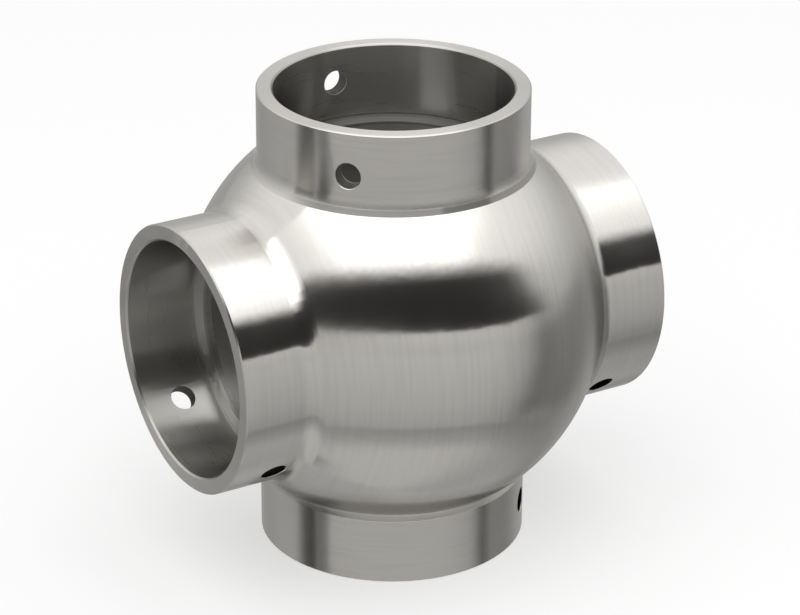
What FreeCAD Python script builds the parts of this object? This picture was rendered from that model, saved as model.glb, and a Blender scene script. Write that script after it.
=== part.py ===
import FreeCAD, Part
import math
import os

# Ball cross tube fitting: one hollow cast ball with four turned collars at right angles, in one plane.
# Each collar is a socket for the end of a round tube. Millimetres, +Z up, origin at the ball's centre.
# Two collars lie along X and two along Z; the fitting stands on the rim of the lower one.

# Tube and socket
tube_diameter = 50.8        # nominal 2 inch tube
tube_clearance = 0.1        # gap all round the tube
socket_depth = 16.75        # rim to the ledge that stops the tube
ledge_width = 3.5           # ring of casting left inside the socket's bottom
ledge_thickness = 2.0       # casting behind the ledge, measured at its inner edge
socket_corner_break = 0.4   # bevel that the boring tool leaves in the socket's bottom corner

# Collars
collar_wall = 3.5           # turned outside to bored inside
collar_height = 16.1        # ball's skin to the rim
rim_outer_break = 0.3       # chamfers on the rim's two edges
rim_inner_break = 0.4

# Ball: its skin stands this far outside the corner where two neighbouring collars would meet
ball_cover = 4.75

# Blend between each collar and the ball, finished by hand and so a little different on each
root_fillet_top = 4.0
root_fillet_bottom = 2.5
root_fillet_left = 5.0
root_fillet_right = 3.5

# Screw holes, two through the wall of each collar
screw_hole_diameter = 5.5   # clearance for an M5 screw
screw_hole_break = 0.2      # chamfer at the outer mouth

tube_radius = tube_diameter / 2
socket_radius = tube_radius + tube_clearance
core_radius = socket_radius - ledge_width
collar_radius = socket_radius + collar_wall
ball_radius = collar_radius * math.sqrt(2) + ball_cover
collar_foot = math.sqrt(ball_radius ** 2 - collar_radius ** 2)
rim_reach = collar_foot + collar_height
ledge_reach = rim_reach - socket_depth
cavity_radius = math.hypot(core_radius, ledge_reach - ledge_thickness)
screw_hole_radius = screw_hole_diameter / 2

ORIGIN = FreeCAD.Vector(0, 0, 0)
X_AXIS = FreeCAD.Vector(1, 0, 0)
Y_AXIS = FreeCAD.Vector(0, 1, 0)
Z_AXIS = FreeCAD.Vector(0, 0, 1)

# Each collar: the way it points, its root fillet, and its screw holes as (angle, distance from the rim).
# The angle is from +X towards +Y on the upright collars and from +Y towards +Z on the level ones.
COLLARS = {
    "top": (Z_AXIS, root_fillet_top, [(-139.5, 9.4), (89.0, 7.9)]),
    "bottom": (-Z_AXIS, root_fillet_bottom, [(-43.5, 8.2), (90.0, 8.2)]),
    "left": (-X_AXIS, root_fillet_left, [(-138.3, 10.0), (-46.5, 9.2)]),
    "right": (X_AXIS, root_fillet_right, [(-138.0, 11.0), (-46.0, 10.0)]),
}


def revolve_about(direction, outline):
    """Turn a closed outline of edges, drawn in the XZ plane with Z as axis, and point it along direction."""
    face = Part.Face(Part.Wire(outline))
    solid = face.revolve(ORIGIN, Z_AXIS, 360)
    solid.Placement = FreeCAD.Placement(ORIGIN, FreeCAD.Rotation(Z_AXIS, direction))
    return solid


def polyline(points):
    """Straight edges through (radius, height) points, in order."""
    vectors = [FreeCAD.Vector(radius, 0, height) for radius, height in points]
    return [Part.makeLine(start, end) for start, end in zip(vectors, vectors[1:])]


def arc(start, middle, end):
    """Round edge through three (radius, height) points."""
    vectors = [FreeCAD.Vector(radius, 0, height) for radius, height in (start, middle, end)]
    return Part.Arc(*vectors).toShape()


def collar_blank(direction, fillet):
    """Solid collar out to the rim, with its root fillet, on a cone that reaches the ball's centre.

    The fillet's arc is tangent to the collar and to the ball: its centre is one fillet radius outside both.
    """
    centre_radius = collar_radius + fillet
    centre_height = math.sqrt((ball_radius + fillet) ** 2 - centre_radius ** 2)
    on_ball = ball_radius / (ball_radius + fillet)
    slope = math.atan2(centre_height, centre_radius)
    ball_end = (centre_radius * on_ball, centre_height * on_ball)
    arc_middle = (
        centre_radius - fillet * math.cos(slope / 2),
        centre_height - fillet * math.sin(slope / 2),
    )
    collar_end = (collar_radius, centre_height)
    outline = polyline([(0, 0), ball_end])
    outline.append(arc(ball_end, arc_middle, collar_end))
    outline += polyline([
        collar_end,
        (collar_radius, rim_reach - rim_outer_break),
        (collar_radius - rim_outer_break, rim_reach),
        (0, rim_reach),
        (0, 0),
    ])
    return revolve_about(direction, outline)


def socket_bore(direction):
    """What is taken out of a collar: the core's opening, the socket above it and the chamfer of its mouth."""
    beyond_rim = rim_reach + rim_inner_break
    outline = polyline([
        (0, 0),
        (core_radius, 0),
        (core_radius, ledge_reach),
        (socket_radius - socket_corner_break, ledge_reach),
        (socket_radius, ledge_reach + socket_corner_break),
        (socket_radius, rim_reach - rim_inner_break),
        (socket_radius + 2 * rim_inner_break, beyond_rim),
        (0, beyond_rim),
        (0, 0),
    ])
    return revolve_about(direction, outline)


def radial_direction(direction, angle):
    """Unit vector square to a collar's axis, at the angle that COLLARS describes."""
    across = math.cos(math.radians(angle))
    along = math.sin(math.radians(angle))
    if abs(direction.z) > 0.5:
        return X_AXIS * across + Y_AXIS * along
    return Y_AXIS * across + Z_AXIS * along


def screw_hole(direction, angle, from_rim):
    """Drill that goes through one collar wall, with a small cone that breaks the outer mouth."""
    outward = radial_direction(direction, angle)
    on_axis = direction * (rim_reach - from_rim)
    inside = core_radius
    outside = collar_radius + screw_hole_diameter
    drill = Part.makeCylinder(screw_hole_radius, outside - inside, on_axis + outward * inside, outward)
    cone_base = collar_radius - screw_hole_break
    cone_height = outside - cone_base
    cone = Part.makeCone(
        screw_hole_radius, screw_hole_radius + cone_height, cone_height, on_axis + outward * cone_base, outward
    )
    return drill.fuse(cone)


def outer_form():
    """Ball and collars fused."""
    ball = Part.makeSphere(ball_radius)
    ball.rotate(ORIGIN, Z_AXIS, 90)
    blanks = [collar_blank(direction, fillet) for direction, fillet, _ in COLLARS.values()]
    return ball.multiFuse(blanks).removeSplitter()


def ball_cross_body():
    """The whole casting: outer form less the round cavity, the four sockets and the screw holes."""
    cavity = Part.makeSphere(cavity_radius)
    cavity.rotate(ORIGIN, Z_AXIS, 90)
    inside = cavity.multiFuse([socket_bore(direction) for direction, _, _ in COLLARS.values()])
    body = outer_form().cut(inside)
    drills = [
        screw_hole(direction, angle, from_rim)
        for direction, _, holes in COLLARS.values()
        for angle, from_rim in holes
    ]
    return body.cut(Part.makeCompound(drills)).removeSplitter()


def main():
    os.makedirs("parts", exist_ok=True)
    body = ball_cross_body()
    solid = body.Solids[0]
    print("solids", len(body.Solids), "valid", solid.isValid(), "volume", round(solid.Volume, 1))
    print("ball diameter", round(2 * ball_radius, 2), "overall", round(2 * rim_reach, 2))
    print("ball wall", round(ball_radius - cavity_radius, 2), "ledge reach", round(ledge_reach, 2))
    solid.exportStep("parts/ball_cross_body.step")


main()
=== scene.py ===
"""Ball cross tube fitting: the brushed finish of its casting, and the studio that it stands in."""

import math
from functools import partial, reduce
from types import SimpleNamespace

import bpy
import numpy as np
from bpy.props import FloatProperty, FloatVectorProperty, PointerProperty
from mathutils import Matrix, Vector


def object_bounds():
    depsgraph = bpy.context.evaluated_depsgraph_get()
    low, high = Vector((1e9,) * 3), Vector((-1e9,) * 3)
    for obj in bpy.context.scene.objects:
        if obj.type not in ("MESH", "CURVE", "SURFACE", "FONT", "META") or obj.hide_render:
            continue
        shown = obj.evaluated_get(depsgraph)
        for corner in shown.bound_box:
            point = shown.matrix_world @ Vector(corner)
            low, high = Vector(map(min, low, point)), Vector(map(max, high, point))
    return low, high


bl_info = {
    "name": "Ball cross tube fitting",
    "version": (1, 0, 0),
    "blender": (4, 5, 0),
    "location": "3D View > Sidebar > Tube fitting",
    "description": "Dresses the cast ball cross in brushed steel and lights it in a small studio",
    "category": "Object",
}

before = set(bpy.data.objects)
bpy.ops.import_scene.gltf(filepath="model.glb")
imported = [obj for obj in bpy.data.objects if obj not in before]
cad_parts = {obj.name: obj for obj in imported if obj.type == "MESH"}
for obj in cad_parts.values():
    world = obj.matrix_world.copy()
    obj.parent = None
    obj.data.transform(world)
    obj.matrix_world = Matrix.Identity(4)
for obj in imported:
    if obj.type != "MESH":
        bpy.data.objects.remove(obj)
cad_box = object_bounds()
RIM_HEIGHT = cad_box[1].z
MM_PER_M = 1000.0

# Zones of the finish, in millimetres from the ball's centre. The rings lie about each collar's axis and are given as
# from and to along the axis, from and to off it.
SOCKET_WALL = (34.5, 60.0, 0.0, 25.75)
SOCKET_LEDGE = (34.0, 35.5, 21.7, 25.7)
SCREW_HOLES = (36.1, 50.9, 25.65, 28.85)
RIM_FROM = 51.3
CAST_WITHIN = 40.6

# The upright collars' zone is where the height is over this many times the distance from the Z axis. The shift makes
# it start a little further in on the upper collar than on the lower one.
UPRIGHT_SLOPE = 1.145
UPRIGHT_SLOPE_SHIFT = 0.016

# Distance of the upright collars' root from the centre. It is a little further out on the upper collar, whose worn
# ring is narrower.
ROOT_TOP = 36.9
ROOT_TOP_SHIFT = 0.35
UPPER_ROOT_TRIM = 2.1

# Smooth steps, as the place or the share where they start and end, and the value before and after where it isn't 0
# and 1. Root steps go by the height above the root's top, or by the share of the way to the front or the back.
# The worn ring's step also bounds the painted highlight on the lower collar's fillet
WORN_ROOT_AND_HIGHLIGHT = (0.0, 0.6, 1.0, 0.0)
# The dark streak at the front and the back of the upper collar's root is a painted dark reflection, and the upper
# shade is painted shade in the root
DARK_REFLECTION_HEIGHT = (-2.3, -1.2, 1.0, 0.0)
DARK_REFLECTION_WIDTH = (0.972, 0.988, 0.0, 0.85)
UPPER_SHADE = (-1.9, 0.2, 0.2, 0.0)
ROOT_WIDTH = (0.25, 0.9)
ROOT_ROUGHNESS = (0.15, 0.6, 0.32, 0.6)

# Steps by the distance from the centre along the Z axis: the painted shade on the lower collar's root, and the painted
# shade deep in the cast hollow
LOWER_SHADE_START = (24.5, 28.0)
LOWER_SHADE_END = (32.5, 35.0, 0.36, 0.0)
DEEP_SHADE = (20.0, 34.0, 0.0, 0.45)

# Steps of the normal's upward tilt, by x and, where it starts over the ball's middle, by z
COLLAR_TILT = (-39.0, -33.0, -0.047, 0.0)
BALL_TILT = (-27.0, 5.0, 0.0, 0.05)
TILT_END = (12.0, 32.0, 1.0, 0.0)
TILT_START = (-5.0, 8.0)

# Steps by the tone of a stroke and by the patches
DULL_STROKES = (0.35, 0.75)
GRAINY_PATCHES = (0.45, 0.65, 0.0, 9.0)

# How bright some zones are, as times the steel's, the bore's or the cast skin's colour
DULL_STROKE_TINT = 0.96
# Painted shade and a painted dark reflection at the upright collars' roots
ROOT_SHADE_TINT = 0.45
# A painted highlight on the lower collar's fillet
FILLET_HIGHLIGHT_TINT = 1.4
# The level sockets' bores are painted lighter than the upright ones: painted light
LEVEL_BORE_LIGHT_TINT = 1.15
# The ledges deep in the upright sockets are painted darker: painted shade
UPRIGHT_LEDGE_SHADE_TINT = 0.4
# The screw holes' walls are painted darker: painted shade
SCREW_HOLE_SHADE_TINT = 0.25
CAST_HOLLOW_TINT = 0.6
DEEP_COLOUR = (0.1, 0.1, 0.1)
GRAZING_TINT = (0.8, 0.8, 0.8, 1.0)

# Roughness of some zones, and how far the strokes and the patches change it
RIM_ROUGHNESS = 0.3
CUT_ROUGHNESS = 0.5
CAST_ROUGHNESS = 0.62
STROKES_ROUGHNESS = 0.035
PATCHES_ROUGHNESS = 0.08

# Heights of the cast skin's grain and the turned cuts, as times the depth of a brush stroke
CAST_GRAIN = 60.0
TURNED_CUTS = 3.0

# Depth of the shallow waves that the brush leaves, in metres
WAVE_DEPTH = 0.00005

# Share of the direction away from the axis in the tangent. The flat rims need it, since the axis gives them none.
RADIAL_SHARE = 0.0017

FLOOR_RINGS, FLOOR_COLUMNS = 24, 128
FLOOR_MIDDLE = 0.001
DOORWAY_ROWS, DOORWAY_COLUMNS = 9, 61
DOORWAY_BRIGHTNESS = 0.03

# Angles in the tables and numbers below are in degrees. Height is above the level, and turn is from the camera's side
# to the right.
FLOOR_BY_HEIGHT = ((-90, 0.66), (-57, 0.66), (-51, 0.48), (-46, 0.40), (-43.5, 0.37), (-42, 0.50), (-30, 0.58),
                   (-6, 0.68), (0, 0.70))
FLOOR_BY_TURN = ((-180, 0.95), (-140, 0.75), (-110, 0.8), (-92, 0.8), (-66, 1.0), (50, 1.0), (85, 0.75),
                 (110, 0.72), (150, 0.9), (180, 0.95))
TABLE_TOP = 2.0
LEVEL_SOFTNESS = 1.0
COVE_HEIGHT = 38.0

# Dark strips: turn of the middle, half width, softness, lowest and highest angle, darkness
DARK_STRIPS = ((-76.0, 9.5, 2.0, -62.0, 12.0, 0.93), (-59.0, 5.0, 2.0, -27.0, 6.0, 0.85),
               (85.0, 4.0, 2.0, -40.0, 12.0, 0.9), (104.0, 26.0, 10.0, -40.0, -2.0, 0.42))
STRIP_FOOT_SOFTNESS = 5.0
STRIP_TOP_SOFTNESS = 6.0

# Where the fitting's centre lies in the camera's view, to the right of the line of sight and below it, in metres
CENTRE_RIGHT = -0.001583
CENTRE_BELOW = 0.000142


class SteelFinish(bpy.types.PropertyGroup):
    """Colours and sizes of the brushed, turned and as-cast faces."""

    steel_colour: FloatVectorProperty(
        name="Steel colour", description="Colour of the clean brushed steel",
        subtype="COLOR", size=3, min=0.0, max=1.0, default=(0.62, 0.602, 0.567))
    cast_colour: FloatVectorProperty(
        name="Cast colour", description="Colour of the unworked skin inside the ball",
        subtype="COLOR", size=3, min=0.0, max=1.0, default=(0.48, 0.467, 0.44))
    bore_colour: FloatVectorProperty(
        name="Bore colour", description="Colour of the sockets' turned walls",
        subtype="COLOR", size=3, min=0.0, max=1.0, default=(0.45, 0.439, 0.414))
    stroke_pitch: FloatProperty(
        name="Stroke pitch", description="Distance between neighbouring brush strokes",
        unit="LENGTH", min=0.00002, default=0.00016)
    stroke_length: FloatProperty(
        name="Stroke length", description="Usual length of one brush stroke",
        unit="LENGTH", min=0.0005, default=0.012)
    stroke_depth: FloatProperty(
        name="Stroke depth", description="Depth of the brush strokes",
        unit="LENGTH", min=0.0, default=0.00000045)
    ball_roughness: FloatProperty(
        name="Ball roughness", description="Roughness of the ball and the level collars",
        min=0.0, max=1.0, default=0.17)
    collar_roughness: FloatProperty(
        name="Collar roughness", description="Roughness of the upright collars",
        min=0.0, max=1.0, default=0.25)
    turned_roughness: FloatProperty(
        name="Turned roughness", description="Roughness of the sockets' turned walls",
        min=0.0, max=1.0, default=0.28)


class StudioStage(bpy.types.PropertyGroup):
    """Sizes and brightnesses of the floor, the dark doorway, the ceiling light and the world, and where the camera
    stands."""

    floor_colour: FloatVectorProperty(
        name="Floor colour", description="Colour of the pale floor",
        subtype="COLOR", size=3, min=0.0, max=1.0, default=(0.64, 0.64, 0.64))
    floor_glow: FloatProperty(
        name="Floor glow", description="Light added to the floor where it is seen, none of which falls on the fitting",
        min=0.0, default=0.48)
    floor_radius: FloatProperty(
        name="Floor radius", description="Radius of the round floor",
        unit="LENGTH", min=0.3, default=2.5)
    doorway_turn: FloatProperty(
        name="Doorway turn", description="Turn of the dark doorway from the camera's side, to the right",
        subtype="ANGLE", default=math.radians(12.0))
    doorway_distance: FloatProperty(
        name="Doorway distance", description="Distance from the fitting to the dark doorway",
        unit="LENGTH", min=0.2, default=1.0)
    doorway_bend: FloatProperty(
        name="Doorway bend", description="Bend of the dark doorway: 0 is round, 1 is flat",
        min=0.0, max=1.0, default=0.6)
    doorway_left: FloatProperty(
        name="Doorway left", description="Turn from the doorway's middle to its left end",
        subtype="ANGLE", default=math.radians(84.0))
    doorway_right: FloatProperty(
        name="Doorway right", description="Turn from the doorway's middle to its right end",
        subtype="ANGLE", default=math.radians(72.0))
    doorway_from: FloatProperty(
        name="Doorway from", description="Angle above the level of the doorway's lower edge",
        subtype="ANGLE", default=math.radians(12.3))
    doorway_full: FloatProperty(
        name="Doorway full", description="Angle up to which the doorway is quite dark",
        subtype="ANGLE", default=math.radians(38.5))
    doorway_to: FloatProperty(
        name="Doorway to", description="Angle at which the doorway's darkness has thinned out",
        subtype="ANGLE", default=math.radians(51.0))
    ceiling_height: FloatProperty(
        name="Ceiling height", description="Height of the ceiling light above the fitting's centre",
        unit="LENGTH", min=0.3, default=1.7)
    ceiling_depth: FloatProperty(
        name="Ceiling depth", description="Size of the ceiling light from front to back",
        unit="LENGTH", min=0.1, default=2.72)
    ceiling_width: FloatProperty(
        name="Ceiling width", description="Size of the ceiling light from side to side",
        unit="LENGTH", min=0.1, default=2.81)
    ceiling_forward: FloatProperty(
        name="Ceiling forward", description="How far the ceiling light's middle is towards the doorway",
        unit="LENGTH", default=0.98)
    ceiling_aside: FloatProperty(
        name="Ceiling aside", description="How far the ceiling light's middle is to the right of the doorway's",
        unit="LENGTH", default=-0.125)
    ceiling_brightness: FloatProperty(
        name="Ceiling brightness", description="Brightness of the ceiling light, where white is 1",
        min=0.0, default=0.95)
    world_brightness: FloatProperty(
        name="World brightness", description="Light that the white surroundings give to dull faces",
        min=0.0, default=0.5)
    wall_brightness: FloatProperty(
        name="Wall brightness", description="Brightness of the walls that the steel mirrors, at the level",
        min=0.0, default=0.66)
    cove_brightness: FloatProperty(
        name="Cove brightness", description="Brightness of what the steel mirrors high up beside the ceiling light",
        min=0.0, default=1.19)
    camera_azimuth: FloatProperty(
        name="Camera azimuth", description="Turn of the camera round the fitting, from the front to the right",
        subtype="ANGLE", default=math.radians(-30.98))
    camera_elevation: FloatProperty(
        name="Camera elevation", description="Angle of the camera above the level",
        subtype="ANGLE", default=math.radians(24.74))
    camera_roll: FloatProperty(
        name="Camera roll", description="Turn of the picture about the line of sight",
        subtype="ANGLE", default=math.radians(0.31))
    camera_distance: FloatProperty(
        name="Camera distance", description="Distance from the camera to the fitting's centre",
        unit="LENGTH", min=0.1, default=0.7001)
    camera_lens: FloatProperty(
        name="Camera lens", description="Focal length of the camera, for a 36 mm wide sensor",
        unit="CAMERA", min=10.0, default=145.54)


class Nodes:
    """Adds shader nodes to one tree and joins them: a value given to a socket is set, a socket given is linked."""

    def __init__(self, tree):
        self.tree = tree

    def feed(self, socket, value):
        if isinstance(value, bpy.types.NodeSocket):
            self.tree.links.new(value, socket)
        else:
            socket.default_value = value

    def add(self, kind, inputs=None, **settings):
        node = self.tree.nodes.new(kind)
        for name, value in settings.items():
            setattr(node, name, value)
        for key, value in (inputs or {}).items():
            self.feed(node.inputs[key], value)
        return node

    def math(self, operation, *values):
        return self.add("ShaderNodeMath", dict(enumerate(values)), operation=operation).outputs[0]

    def times(self, *values):
        return reduce(partial(self.math, "MULTIPLY"), values)

    def plus(self, *values):
        return reduce(partial(self.math, "ADD"), values)

    def most(self, *values):
        return reduce(partial(self.math, "MAXIMUM"), values)

    def outside(self, mask):
        """The rest of the object, which a mask leaves."""
        return self.math("SUBTRACT", 1.0, mask)

    def within(self, value, low, high):
        """A mask of where a value lies from low to high."""
        return self.math("COMPARE", value, (low + high) / 2, (high - low) / 2)

    def ramp(self, value, low, high, to_low=0.0, to_high=1.0):
        """A smooth step of value from low to high, as a number from to_low to to_high."""
        node = self.add("ShaderNodeMapRange", {"Value": value, "From Min": low, "From Max": high,
                                               "To Min": to_low, "To Max": to_high},
                        interpolation_type="SMOOTHSTEP")
        return node.outputs["Result"]

    def vector(self, operation, *values):
        node = self.add("ShaderNodeVectorMath", dict(enumerate(values)), operation=operation)
        return node.outputs["Value" if operation == "LENGTH" else "Vector"]

    def scaled(self, vector, factor):
        return self.add("ShaderNodeVectorMath", {0: vector, 3: factor}, operation="SCALE").outputs[0]

    def blend(self, factor, first, second):
        """A number between first and second."""
        return self.add("ShaderNodeMix", {0: factor, 2: first, 3: second}, data_type="FLOAT").outputs[0]

    def blend_vector(self, factor, first, second):
        """A vector between first and second."""
        return self.add("ShaderNodeMix", {0: factor, 4: first, 5: second}, data_type="VECTOR").outputs[1]

    def blend_colour(self, factor, first, second):
        """A colour between first and second."""
        return self.add("ShaderNodeMix", {0: factor, 6: first, 7: second}, data_type="RGBA").outputs[2]

    def noise(self, place, scale, detail, roughness):
        return self.add("ShaderNodeTexNoise", {"Vector": place, "Scale": scale, "Detail": detail,
                                               "Roughness": roughness}).outputs[0]

    def table(self, value, entries):
        """A number that runs straight from one entry (value, number up to the tables' top) to the next."""
        first, last = entries[0][0], entries[-1][0]
        node = self.add("ShaderNodeValToRGB", {0: self.math("DIVIDE", self.math("SUBTRACT", value, first),
                                                            last - first)})
        stops = node.color_ramp.elements
        for _ in entries[2:]:
            stops.new(0.5)
        for stop, (at, number) in zip(stops, entries):
            stop.position = (at - first) / (last - first)
            stop.color = (*(number / TABLE_TOP,) * 3, 1.0)
        return self.times(node.outputs[0], TABLE_TOP)


def empty_nodes(owner):
    """Empties the node tree of a material or a world, and gives what adds nodes to it."""
    owner.use_nodes = True
    owner.node_tree.nodes.clear()
    return Nodes(owner.node_tree)


def new_group(name, inputs, outputs):
    """A shader node group with named sockets. The inputs are given as (name, kind, default)."""
    tree = bpy.data.node_groups.new(name, "ShaderNodeTree")
    for socket, kind, default in inputs:
        made = tree.interface.new_socket(socket, in_out="INPUT", socket_type=kind)
        if default is not None:
            made.default_value = default
    for socket, kind in outputs:
        tree.interface.new_socket(socket, in_out="OUTPUT", socket_type=kind)
    nodes = Nodes(tree)
    return nodes, nodes.add("NodeGroupInput").outputs, nodes.add("NodeGroupOutput").inputs


def brush_strokes_group():
    """Long thin strokes: noise squeezed across the strokes and stretched along them, in a fine and a coarse layer.

    Across is the direction across the strokes, so the place along it is scaled up by one over the pitch, and what is
    left of the place is scaled by one over the length.
    """
    nodes, given, made = new_group(
        "brush_strokes",
        [("Place", "NodeSocketVector", None), ("Across", "NodeSocketVector", None),
         ("Pitch", "NodeSocketFloat", 0.16), ("Length", "NodeSocketFloat", 12.0)],
        [("Height", "NodeSocketFloat"), ("Tone", "NodeSocketFloat")])
    along_across = nodes.vector("MULTIPLY", given["Place"], given["Across"])
    rest = nodes.vector("SUBTRACT", given["Place"], along_across)

    def layer(wider, longer, detail):
        pitch, length = nodes.times(given["Pitch"], wider), nodes.times(given["Length"], longer)
        squeezed = nodes.scaled(along_across, nodes.math("DIVIDE", 1.0, pitch))
        stretched = nodes.scaled(rest, nodes.math("DIVIDE", 1.0, length))
        return nodes.noise(nodes.vector("ADD", squeezed, stretched), scale=1.0, detail=detail, roughness=0.6)

    fine_share = 0.8
    fine = layer(wider=1.0, longer=1.0, detail=3.0)
    coarse = layer(wider=5.0, longer=1.6, detail=2.0)
    height = nodes.plus(nodes.times(fine, fine_share), nodes.times(coarse, 1.0 - fine_share))
    nodes.feed(made["Height"], height)
    nodes.feed(made["Tone"], coarse)
    return nodes.tree


def finish_zones(nodes, place):
    """Masks of the casting's zones of finish and the measures that they share, from the place in millimetres."""
    x, y, z = nodes.add("ShaderNodeSeparateXYZ", {0: place}).outputs
    along_x, along_z = nodes.math("ABSOLUTE", x), nodes.math("ABSOLUTE", z)
    from_x_axis = nodes.vector("LENGTH", nodes.vector("MULTIPLY", place, (0, 1, 1)))
    from_z_axis = nodes.vector("LENGTH", nodes.vector("MULTIPLY", place, (1, 1, 0)))
    side, upper, lower = (nodes.math(test, z, 0.0) for test in ("SIGN", "GREATER_THAN", "LESS_THAN"))

    def in_collars(low, high, inner, outer):
        """A ring about each collar's axis, from low to high along it and from inner to outer off it."""
        return nodes.most(*(nodes.times(nodes.within(off_axis, inner, outer), nodes.within(along, low, high))
                            for along, off_axis in ((along_x, from_x_axis), (along_z, from_z_axis))))

    slope = nodes.math("SUBTRACT", UPRIGHT_SLOPE, nodes.times(side, UPRIGHT_SLOPE_SHIFT))
    upright = nodes.math("GREATER_THAN", along_z, nodes.times(from_z_axis, slope))
    turned = in_collars(*SOCKET_WALL)
    cast = nodes.times(nodes.math("LESS_THAN", nodes.vector("LENGTH", place), CAST_WITHIN), nodes.outside(turned))

    above_root = nodes.math("SUBTRACT", along_z, nodes.plus(ROOT_TOP, nodes.times(side, ROOT_TOP_SHIFT)))
    to_front_or_back = nodes.math("DIVIDE", nodes.math("ABSOLUTE", y), from_z_axis)
    root_width = nodes.ramp(to_front_or_back, *ROOT_WIDTH)
    # The worn ring at the root, which also bounds the painted highlight on the lower collar's fillet
    worn_root_and_highlight = nodes.times(upright, nodes.ramp(nodes.plus(above_root, nodes.times(upper, UPPER_ROOT_TRIM)),
                                                *WORN_ROOT_AND_HIGHLIGHT))
    # A painted dark reflection: a dark streak at the front and the back of the upper collar's root
    painted_dark_reflection = nodes.times(nodes.ramp(above_root, *DARK_REFLECTION_HEIGHT), nodes.ramp(to_front_or_back, *DARK_REFLECTION_WIDTH))
    # Painted shade at the roots, where the upright collars meet the ball
    upper_shade = nodes.times(upright, nodes.most(painted_dark_reflection, nodes.ramp(above_root, *UPPER_SHADE)))
    lower_shade = nodes.times(nodes.ramp(along_z, *LOWER_SHADE_START), nodes.ramp(along_z, *LOWER_SHADE_END))
    return SimpleNamespace(
        x=x, z=z, along_z=along_z, to_front_or_back=to_front_or_back,
        upright=upright, turned=turned, cast=cast, worn_root_and_highlight=worn_root_and_highlight,
        painted_root_shade=nodes.times(nodes.blend(lower, upper_shade, lower_shade), root_width),
        # A painted highlight on the lower collar's fillet
        painted_fillet_highlight=nodes.times(worn_root_and_highlight, lower, root_width),
        rim=nodes.math("GREATER_THAN", nodes.most(along_x, along_z), RIM_FROM),
        ledge=in_collars(*SOCKET_LEDGE), drilled=in_collars(*SCREW_HOLES))


def tinted(colour, brightness=1.0):
    """A colour made darker or brighter, with its alpha."""
    return tuple(brightness * channel for channel in colour) + (1.0,)


def finish_colour(nodes, zones, finish, tone, grit):
    """The zones' colours, each over the ones before it, and the cast skin last."""
    steel, bore, skin = finish.steel_colour, finish.bore_colour, finish.cast_colour
    worked = nodes.blend_colour(nodes.ramp(tone, *DULL_STROKES), tinted(steel), tinted(steel, DULL_STROKE_TINT))
    for mask, colour in (
            # Painted shade and a painted dark reflection at the upright collars' roots
            (zones.painted_root_shade, tinted(steel, ROOT_SHADE_TINT)),
            # A painted highlight on the lower collar's fillet
            (zones.painted_fillet_highlight, tinted(steel, FILLET_HIGHLIGHT_TINT)),
            # The level bores are painted lighter than the upright ones: painted light
            (zones.turned, nodes.blend_colour(zones.upright, tinted(bore, LEVEL_BORE_LIGHT_TINT), tinted(bore))),
            # The ledges deep in the upright sockets are painted darker: painted shade
            (zones.ledge, nodes.blend_colour(zones.upright, tinted(bore), tinted(bore, UPRIGHT_LEDGE_SHADE_TINT))),
            # The screw holes' walls are painted darker: painted shade
            (zones.drilled, tinted(bore, SCREW_HOLE_SHADE_TINT))):
        worked = nodes.blend_colour(mask, worked, colour)
    unworked = nodes.blend_colour(grit, tinted(skin, CAST_HOLLOW_TINT), tinted(skin))
    unworked = nodes.blend_colour(nodes.ramp(zones.along_z, *DEEP_SHADE), unworked, tinted(DEEP_COLOUR))
    return nodes.blend_colour(zones.cast, worked, unworked)


def finish_roughness(nodes, zones, finish, tone, patches):
    """The zones' roughness, changed a little by the strokes and the patches."""
    streaky = nodes.times(nodes.math("SUBTRACT", tone, 0.5), STROKES_ROUGHNESS)
    patchy = nodes.times(nodes.math("SUBTRACT", patches, 0.5), PATCHES_ROUGHNESS)
    brushed = nodes.plus(streaky, patchy, nodes.blend(zones.upright, finish.ball_roughness, finish.collar_roughness))
    brushed = nodes.most(brushed, nodes.times(zones.rim, RIM_ROUGHNESS),
                         nodes.times(zones.worn_root_and_highlight, nodes.ramp(zones.to_front_or_back, *ROOT_ROUGHNESS)))
    worked = nodes.blend(zones.turned, brushed, nodes.plus(streaky, finish.turned_roughness))
    cut = nodes.times(nodes.most(zones.drilled, zones.ledge), CUT_ROUGHNESS)
    return nodes.most(cut, nodes.blend(zones.cast, worked, CAST_ROUGHNESS))


def finish_normal(nodes, zones, finish, strokes, patches, grit):
    """The normal with its strokes, cuts, grain and shallow waves. The front of the real ball isn't quite round, so the
    normal is also tilted by up to about 3 degrees, down on the left-hand collar and up on the ball's upper middle."""
    grain = nodes.times(grit, nodes.blend(zones.cast, nodes.ramp(patches, *GRAINY_PATCHES), CAST_GRAIN))
    cuts = nodes.times(strokes, nodes.blend(zones.turned, 1.0, TURNED_CUTS))
    fine_bump = nodes.add("ShaderNodeBump", {"Strength": 1.0, "Distance": finish.stroke_depth,
                                             "Height": nodes.plus(grain, nodes.blend(zones.cast, cuts, 0.0))})
    wave_bump = nodes.add("ShaderNodeBump", {"Strength": 1.0, "Distance": WAVE_DEPTH, "Height": patches,
                                             "Normal": fine_bump.outputs[0]})
    tilt = nodes.times(nodes.plus(nodes.ramp(zones.x, *COLLAR_TILT), nodes.ramp(zones.x, *BALL_TILT)),
                       nodes.ramp(zones.x, *TILT_END), nodes.ramp(zones.z, *TILT_START),
                       nodes.outside(nodes.most(zones.upright, zones.turned)))
    upwards = nodes.add("ShaderNodeCombineXYZ", {2: tilt}).outputs[0]
    upwards = nodes.add("ShaderNodeVectorTransform", {0: upwards}, vector_type="VECTOR", convert_from="OBJECT",
                        convert_to="WORLD").outputs[0]
    return nodes.vector("NORMALIZE", nodes.vector("ADD", wave_bump.outputs[0], upwards))


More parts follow.
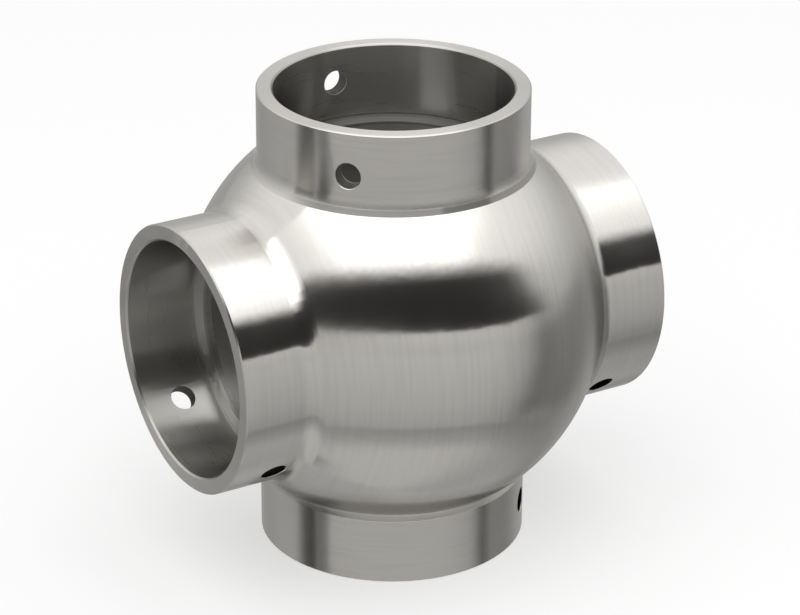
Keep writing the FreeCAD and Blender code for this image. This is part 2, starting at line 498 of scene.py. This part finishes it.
def steel_material(finish):
    """Brushed stainless steel. The ball and the level collars are brushed round the X axis, the upright collars round
    the Z axis, the sockets are turned, and the inside of the ball keeps its cast skin. The upright collars' roots are
    duller where the brush doesn't reach, and darker with painted shade and a painted dark reflection. The lower
    collar's fillet is lighter with a painted highlight."""
    material = bpy.data.materials.new("brushed_stainless_steel")
    nodes = empty_nodes(material)
    place = nodes.scaled(nodes.add("ShaderNodeTexCoord").outputs["Object"], MM_PER_M)
    zones = finish_zones(nodes, place)
    across = nodes.blend_vector(zones.upright, (1, 0, 0), (0, 0, 1))
    strokes = nodes.add("ShaderNodeGroup", {
        "Place": place, "Across": across, "Pitch": finish.stroke_pitch * MM_PER_M,
        "Length": finish.stroke_length * MM_PER_M}, node_tree=brush_strokes_group()).outputs
    patches = nodes.noise(place, scale=0.09, detail=3.0, roughness=0.55)
    grit = nodes.noise(place, scale=1.1, detail=4.0, roughness=0.6)
    away = nodes.vector("MULTIPLY", nodes.vector("MULTIPLY", place, (RADIAL_SHARE,) * 3),
                        nodes.vector("SUBTRACT", (1, 1, 1), across))
    shader = nodes.add("ShaderNodeBsdfPrincipled", {
        "Base Color": finish_colour(nodes, zones, finish, strokes["Tone"], grit), "Metallic": 1.0,
        "Roughness": finish_roughness(nodes, zones, finish, strokes["Tone"], patches),
        "Normal": finish_normal(nodes, zones, finish, strokes["Height"], patches, grit),
        "Anisotropic": 1.0, "Tangent": nodes.vector("ADD", away, across), "Specular Tint": GRAZING_TINT})
    nodes.add("ShaderNodeOutputMaterial", {"Surface": shader.outputs[0]})
    return material


class DressCasting(bpy.types.Operator):
    """Gives the one cast body its brushed, turned and as-cast finish"""

    bl_idname = "tube_fitting.dress_casting"
    bl_label = "Dress the casting"

    def execute(self, context):
        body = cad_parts["ball_cross_body"]
        body.material_slots[0].material = steel_material(context.scene.steel_finish)
        return {"FINISHED"}


def stage_mesh(name, points, closed=False):
    """A smooth mesh object from a grid of points, whose rows may be closed rings."""
    rows, columns = points.shape[:2]
    row, column = np.meshgrid(np.arange(rows - 1), np.arange(columns if closed else columns - 1), indexing="ij")
    first, after = row * columns + column, row * columns + (column + 1) % columns
    faces = np.stack([first, after, after + columns, first + columns], -1)
    mesh = bpy.data.meshes.new(name)
    mesh.from_pydata(points.reshape(-1, 3).tolist(), [], faces.reshape(-1, 4).tolist())
    mesh.shade_smooth()
    made = bpy.data.objects.new(name, mesh)
    bpy.context.scene.collection.objects.link(made)
    return made


def pale_floor(stage):
    """A round level floor under the rim that the fitting stands on. The steel mirrors the world's floor instead."""
    radius = np.linspace(FLOOR_MIDDLE, 1.0, FLOOR_RINGS) ** 2 * stage.floor_radius
    turn = np.linspace(0, 2 * math.pi, FLOOR_COLUMNS, endpoint=False)
    radius, turn = np.meshgrid(radius, turn, indexing="ij")
    points = np.stack([radius * np.cos(turn), radius * np.sin(turn), np.full(radius.shape, -RIM_HEIGHT)], -1)
    floor = stage_mesh("pale_floor", points, closed=True)
    floor.visible_glossy = False

    material = bpy.data.materials.new("pale_floor")
    nodes = empty_nodes(material)
    path = nodes.add("ShaderNodeLightPath").outputs
    seen = nodes.most(path["Is Camera Ray"], path["Is Glossy Ray"], path["Is Transmission Ray"])
    paint = nodes.add("ShaderNodeBsdfDiffuse", {"Color": tinted(stage.floor_colour)})
    glow = nodes.add("ShaderNodeEmission", {"Strength": nodes.times(seen, stage.floor_glow)})
    both = nodes.add("ShaderNodeAddShader", {0: paint.outputs[0], 1: glow.outputs[0]})
    nodes.add("ShaderNodeOutputMaterial", {"Surface": both.outputs[0]})
    floor.data.materials.append(material)


def dark_doorway(stage):
    """The studio's dark doorway, an upright curved card on the camera's side: its distance is that straight ahead,
    divided by a power of the cosine of the turn from there. Its darkness thins out smoothly upwards. The steel mirrors
    it, and neither the camera nor dull faces see it."""
    turn = np.linspace(-stage.doorway_left, stage.doorway_right, DOORWAY_COLUMNS)
    away = stage.doorway_distance / np.cos(turn) ** stage.doorway_bend
    low, full, top = (stage.doorway_distance * math.tan(angle)
                      for angle in (stage.doorway_from, stage.doorway_full, stage.doorway_to))
    away, up = np.meshgrid(away, np.linspace(low, top, DOORWAY_ROWS))
    azimuth = stage.camera_azimuth + stage.doorway_turn + turn
    card = stage_mesh("dark_doorway", np.stack([away * np.sin(azimuth), -away * np.cos(azimuth), up], -1))
    card.visible_camera = card.visible_diffuse = card.visible_shadow = False

    material = bpy.data.materials.new("dark_doorway")
    nodes = empty_nodes(material)
    place = nodes.add("ShaderNodeTexCoord").outputs["Object"]
    height = nodes.add("ShaderNodeSeparateXYZ", {0: place}).outputs[2]
    cloth = nodes.add("ShaderNodeEmission", {"Strength": DOORWAY_BRIGHTNESS})
    clear = nodes.add("ShaderNodeBsdfTransparent")
    both = nodes.add("ShaderNodeMixShader", {0: nodes.ramp(height, full, top, 1.0, 0.0), 1: clear.outputs[0],
                                             2: cloth.outputs[0]})
    nodes.add("ShaderNodeOutputMaterial", {"Surface": both.outputs[0]})
    card.data.materials.append(material)


def ceiling_light(stage):
    """A wide soft light over the fitting, whose power gives the brightness asked for all over its face."""
    azimuth = stage.camera_azimuth + stage.doorway_turn
    forward = np.array([math.sin(azimuth), -math.cos(azimuth), 0.0])
    right = np.array([math.cos(azimuth), math.sin(azimuth), 0.0])
    lamp = bpy.data.lights.new("ceiling_light", "AREA")
    lamp.shape = "RECTANGLE"
    lamp.size, lamp.size_y = stage.ceiling_width, stage.ceiling_depth
    lamp.energy = stage.ceiling_brightness * math.pi * stage.ceiling_width * stage.ceiling_depth
    holder = bpy.data.objects.new("ceiling_light", lamp)
    holder.rotation_euler = (0, 0, azimuth)
    holder.location = (forward * stage.ceiling_forward + right * stage.ceiling_aside
                       + np.array([0.0, 0.0, stage.ceiling_height]))
    bpy.context.scene.collection.objects.link(holder)


def studio_world(stage):
    """White all round, at strength 1 as the camera sees it, and softer as light on dull faces. The steel mirrors the
    studio's far parts: the grey floor with a darker ring and dark strips, and white walls that are brighter higher
    up."""
    world = bpy.data.worlds.new("studio_world")
    nodes = empty_nodes(world)
    towards = nodes.add("ShaderNodeTexCoord").outputs["Generated"]
    x, y, z = nodes.add("ShaderNodeSeparateXYZ", {0: towards}).outputs
    height = nodes.math("DEGREES", nodes.math("ARCSINE", z))
    turn = nodes.math("SUBTRACT", nodes.math("ARCTAN2", x, nodes.times(y, -1.0)), stage.camera_azimuth)
    turn = nodes.math("DEGREES", nodes.math("WRAP", turn, math.pi, -math.pi))
    floor = nodes.times(nodes.table(height, FLOOR_BY_HEIGHT), nodes.table(turn, FLOOR_BY_TURN))
    walls = nodes.ramp(height, 0.0, COVE_HEIGHT, stage.wall_brightness, stage.cove_brightness)
    mirrored = nodes.blend(nodes.ramp(height, -LEVEL_SOFTNESS, LEVEL_SOFTNESS), floor, walls)
    for middle, half, soft, low, high, dark in DARK_STRIPS:
        off = nodes.math("ABSOLUTE", nodes.math("SUBTRACT", turn, middle))
        there = nodes.times(nodes.ramp(height, low - STRIP_FOOT_SOFTNESS, low + STRIP_FOOT_SOFTNESS),
                            nodes.ramp(height, high - STRIP_TOP_SOFTNESS, high + STRIP_TOP_SOFTNESS, 1.0, 0.0),
                            nodes.ramp(off, half - soft, half + soft, dark, 0.0))
        mirrored = nodes.times(mirrored, nodes.outside(there))
    path = nodes.add("ShaderNodeLightPath").outputs
    plain = nodes.blend(path["Is Camera Ray"], stage.world_brightness, 1.0)
    strength = nodes.blend(nodes.most(path["Is Glossy Ray"], path["Is Transmission Ray"]), plain, mirrored)
    light = nodes.add("ShaderNodeBackground", {"Color": (1, 1, 1, 1), "Strength": strength})
    nodes.add("ShaderNodeOutputWorld", {"Surface": light.outputs[0]})
    bpy.context.scene.world = world


def camera_at(stage):
    """The camera that saw the fitting: its three axes follow from azimuth, elevation and roll, and the fitting's
    centre lies a little beside the middle of the picture."""
    azimuth, elevation, roll = stage.camera_azimuth, stage.camera_elevation, stage.camera_roll
    forward = -np.array([math.sin(azimuth) * math.cos(elevation), -math.cos(azimuth) * math.cos(elevation),
                         math.sin(elevation)])
    right = np.cross(forward, (0, 0, 1))
    right /= np.linalg.norm(right)
    down = np.cross(forward, right)
    right, down = right * math.cos(roll) - down * math.sin(roll), right * math.sin(roll) + down * math.cos(roll)
    seat = -(CENTRE_RIGHT * right + CENTRE_BELOW * down + stage.camera_distance * forward)
    data = bpy.data.cameras.new("camera")
    data.lens = stage.camera_lens
    data.sensor_width = 36
    data.clip_start = 0.05
    data.clip_end = 50
    camera = bpy.data.objects.new("camera", data)
    camera.matrix_world = Matrix([(*row, place) for row, place in zip(np.stack([right, -down, -forward], 1), seat)]
                                 + [(0, 0, 0, 1)])
    bpy.context.scene.collection.objects.link(camera)
    bpy.context.scene.camera = camera


class BuildStage(bpy.types.Operator):
    """Lays the floor, sets up the dark doorway and the ceiling light, and the world and the camera"""

    bl_idname = "tube_fitting.build_stage"
    bl_label = "Build the stage"

    def execute(self, context):
        for step in (pale_floor, dark_doorway, ceiling_light, studio_world, camera_at):
            step(context.scene.studio_stage)
        context.scene.view_settings.view_transform = "Standard"
        return {"FINISHED"}


class FittingPanel(bpy.types.Panel):
    """Lists the steps that dress and light the fitting, with their settings"""

    bl_label = "Tube fitting"
    bl_idname = "VIEW3D_PT_tube_fitting"
    bl_space_type = "VIEW_3D"
    bl_region_type = "UI"
    bl_category = "Tube fitting"

    def draw(self, context):
        for operator, settings in ((DressCasting, context.scene.steel_finish),
                                   (BuildStage, context.scene.studio_stage)):
            self.layout.operator(operator.bl_idname)
            for name in settings.bl_rna.properties.keys():
                if name not in ("rna_type", "name"):
                    self.layout.prop(settings, name)


CLASSES = (SteelFinish, StudioStage, DressCasting, BuildStage, FittingPanel)


def register():
    for cls in CLASSES:
        bpy.utils.register_class(cls)
    bpy.types.Scene.steel_finish = PointerProperty(type=SteelFinish)
    bpy.types.Scene.studio_stage = PointerProperty(type=StudioStage)


def unregister():
    del bpy.types.Scene.studio_stage
    del bpy.types.Scene.steel_finish
    for cls in reversed(CLASSES):
        bpy.utils.unregister_class(cls)


def main():
    """Dresses and lights the fitting."""
    register()
    bpy.ops.tube_fitting.dress_casting()
    bpy.ops.tube_fitting.build_stage()


if __name__ == "__main__":
    main()
